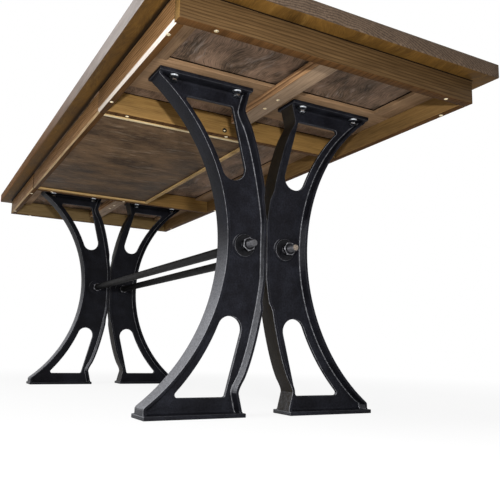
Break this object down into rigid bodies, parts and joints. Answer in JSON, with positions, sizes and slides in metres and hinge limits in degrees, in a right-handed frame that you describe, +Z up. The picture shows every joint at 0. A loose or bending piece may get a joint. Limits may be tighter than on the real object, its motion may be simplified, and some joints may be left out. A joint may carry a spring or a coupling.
{
  "type": "writing desk",
  "caption": "Long wooden writing desk with a shallow drawer in its apron, on concave cast-iron pedestal legs tied lengthwise by threaded steel bars.",
  "frame": {"origin": "on the floor, under the middle of the top", "axes": "+X along the desk to the sitter's right, +Y from the drawer side to the back, +Z up"},
  "size_m": [1.871, 0.762, 0.7555],
  "materials": {
    "oiled_pine_top": "satin oil",
    "oiled_pine_rails": "satin oil",
    "rough_pine_boards": "matt",
    "drawer_pine": "matt",
    "dark_plywood": "matt",
    "black_cast_iron": "satin black paint",
    "black_bar_steel": "satin black",
    "blackened_nut_steel": "oil black",
    "zinc_plated_steel": "bright zinc"
  },
  "bodies": {
    "desk_frame": {"back_rail": "oiled_pine_rails", "bar_nut_inner_back_left": "blackened_nut_steel", "bar_nut_inner_back_right": "blackened_nut_steel", "bar_nut_inner_front_left": "blackened_nut_steel", "bar_nut_inner_front_right": "blackened_nut_steel", "bar_nut_outer_back_left": "blackened_nut_steel", "bar_nut_outer_back_right": "blackened_nut_steel", "bar_nut_outer_front_left": "blackened_nut_steel", "bar_nut_outer_front_right": "blackened_nut_steel", "bar_washer_back_left": "blackened_nut_steel", "bar_washer_back_right": "blackened_nut_steel", "bar_washer_front_left": "blackened_nut_steel", "bar_washer_front_right": "blackened_nut_steel", "batten_back_left": "rough_pine_boards", "batten_back_middle": "rough_pine_boards", "batten_back_right": "rough_pine_boards", "batten_front_left": "rough_pine_boards", "batten_front_right": "rough_pine_boards", "centre_bearer_left": "rough_pine_boards", "centre_bearer_right": "rough_pine_boards", "cross_rail_left": "oiled_pine_rails", "cross_rail_right": "oiled_pine_rails", "drawer_runner_left": "drawer_pine", "drawer_runner_right": "drawer_pine", "end_rail_left": "oiled_pine_rails", "end_rail_right": "oiled_pine_rails", "front_rail_left": "oiled_pine_rails", "front_rail_right": "oiled_pine_rails", "leg_back_left": "black_cast_iron", "leg_back_right": "black_cast_iron", "leg_bolt_back_left_inward_far": "zinc_plated_steel", "leg_bolt_back_left_inward_near": "zinc_plated_steel", "leg_bolt_back_left_outward_far": "zinc_plated_steel", "leg_bolt_back_left_outward_near": "zinc_plated_steel", "leg_bolt_back_right_inward_far": "zinc_plated_steel", "leg_bolt_back_right_inward_near": "zinc_plated_steel", "leg_bolt_back_right_outward_far": "zinc_plated_steel", "leg_bolt_back_right_outward_near": "zinc_plated_steel", "leg_bolt_front_left_inward_far": "zinc_plated_steel", "leg_bolt_front_left_inward_near": "zinc_plated_steel", "leg_bolt_front_left_outward_far": "zinc_plated_steel", "leg_bolt_front_left_outward_near": "zinc_plated_steel", "leg_bolt_front_right_inward_far": "zinc_plated_steel", "leg_bolt_front_right_inward_near": "zinc_plated_steel", "leg_bolt_front_right_outward_far": "zinc_plated_steel", "leg_bolt_front_right_outward_near": "zinc_plated_steel", "leg_front_left": "black_cast_iron", "leg_front_right": "black_cast_iron", "mounting_board_left": "rough_pine_boards", "mounting_board_right": "rough_pine_boards", "tie_bar_back": "black_bar_steel", "tie_bar_front": "black_bar_steel", "top_slab": "oiled_pine_top"},
    "drawer": {"drawer_back": "drawer_pine", "drawer_bottom": "dark_plywood", "drawer_front": "oiled_pine_rails", "drawer_side_left": "drawer_pine", "drawer_side_right": "drawer_pine"}
  },
  "joints": [
    {"name": "drawer_slide", "type": "slide", "parent": "desk_frame", "child": "drawer", "axis": [0, -1, 0], "range_m": [0, 0.3]}
  ]
}
